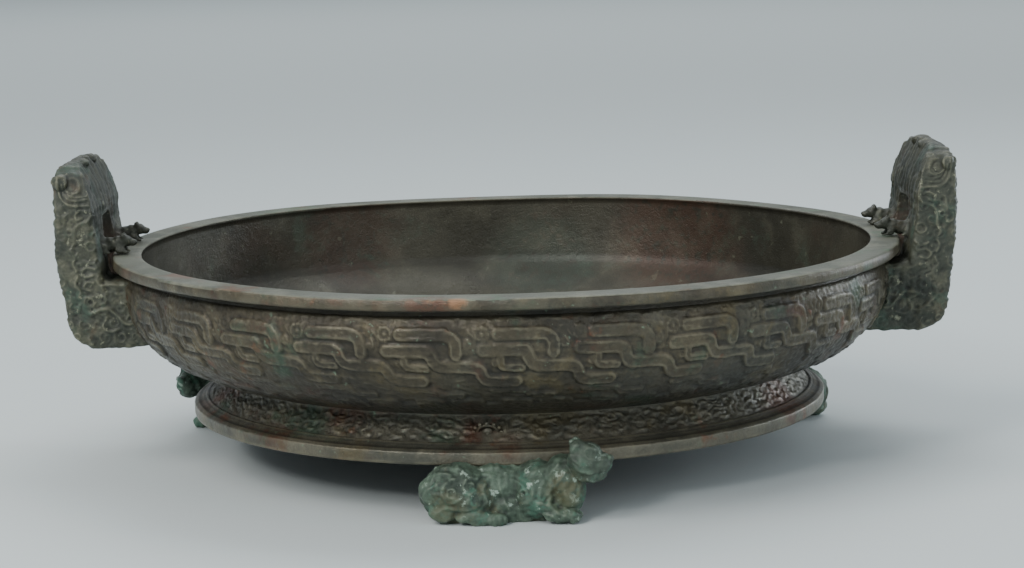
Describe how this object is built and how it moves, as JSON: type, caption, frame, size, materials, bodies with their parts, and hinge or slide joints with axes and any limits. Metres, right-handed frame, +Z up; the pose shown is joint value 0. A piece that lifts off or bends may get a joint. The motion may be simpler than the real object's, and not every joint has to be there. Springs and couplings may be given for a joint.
{
  "type": "bronze ritual basin",
  "caption": "Shallow round cast bronze basin with a flat rim, upright ear handles, a strapwork frieze and a flared ring foot on recumbent animal feet.",
  "frame": {"origin": "on the ground under the basin's axis, at the middle of the three feet", "axes": "+Z up along the basin's axis, +X to the right handle, -Y to the front foot"},
  "size_m": [0.4494, 0.4, 0.156],
  "materials": {
    "bronze": "old cast bronze, olive-brown patina with reddish spots",
    "handle_bronze": "old cast bronze, grey-green patina",
    "foot_bronze": "old cast bronze, green patina with pale flecks"
  },
  "bodies": {
    "root": {"basin": "bronze", "handle_left": "handle_bronze", "handle_right": "handle_bronze", "foot_front": "foot_bronze", "foot_left": "foot_bronze", "foot_right": "foot_bronze"}
  },
  "joints": []
}
